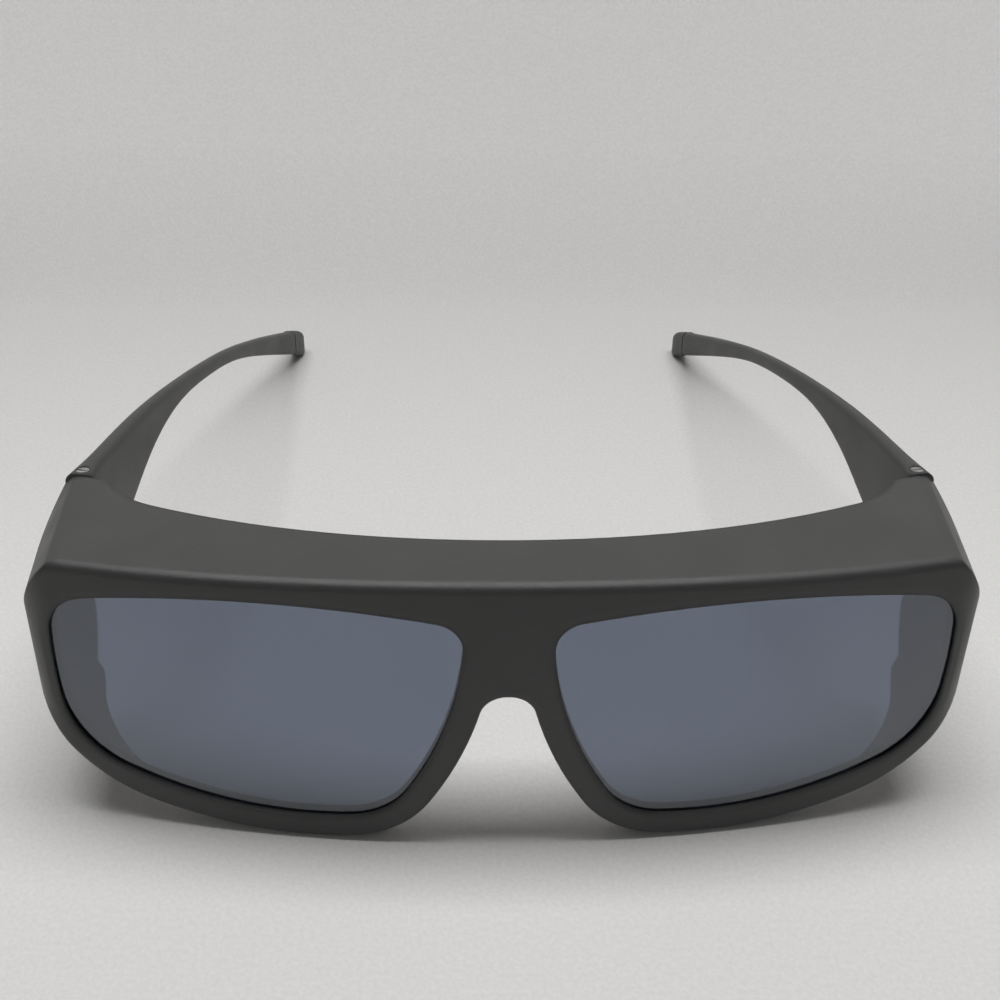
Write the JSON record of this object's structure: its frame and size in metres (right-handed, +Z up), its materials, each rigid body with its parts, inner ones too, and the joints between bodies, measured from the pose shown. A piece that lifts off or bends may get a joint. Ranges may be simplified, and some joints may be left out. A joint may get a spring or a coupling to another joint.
{
  "type": "fitover sunglasses",
  "caption": "Fitover sunglasses: deep wraparound front with a wide brow and side shields, dark curved lenses and folding temples that bend down to soft tips.",
  "frame": {"origin": "on the surface it stands on, under the middle of its box", "axes": "+X to the wearer's left, +Y from the front towards the temple tips, +Z up, as it stands open on its rims and tips"},
  "size_m": [0.1548, 0.1588, 0.0505],
  "materials": {
    "frame": "fine matt moulded surface",
    "lens": "polished smoke-grey tint",
    "tip": "soft satin",
    "screw": "turned",
    "insert": "turned"
  },
  "bodies": {
    "front": {"frame_front": "frame", "lens_left": "lens", "lens_right": "lens"},
    "left_temple": {"temple_left": "frame", "temple_tip_left": "tip", "hinge_screw_left": "screw", "hinge_insert_left": "insert"},
    "right_temple": {"temple_right": "frame", "temple_tip_right": "tip", "hinge_screw_right": "screw", "hinge_insert_right": "insert"}
  },
  "joints": [
    {"name": "left_temple_fold", "type": "hinge", "parent": "front", "child": "left_temple", "pos_m": [0.0713, -0.04045, 0.03831], "axis": [0, 0.1632, 0.9866], "range_deg": [0, 82]},
    {"name": "right_temple_fold", "type": "hinge", "parent": "front", "child": "right_temple", "pos_m": [-0.0713, -0.04045, 0.03831], "axis": [0, -0.1632, -0.9866], "range_deg": [0, 77]}
  ]
}
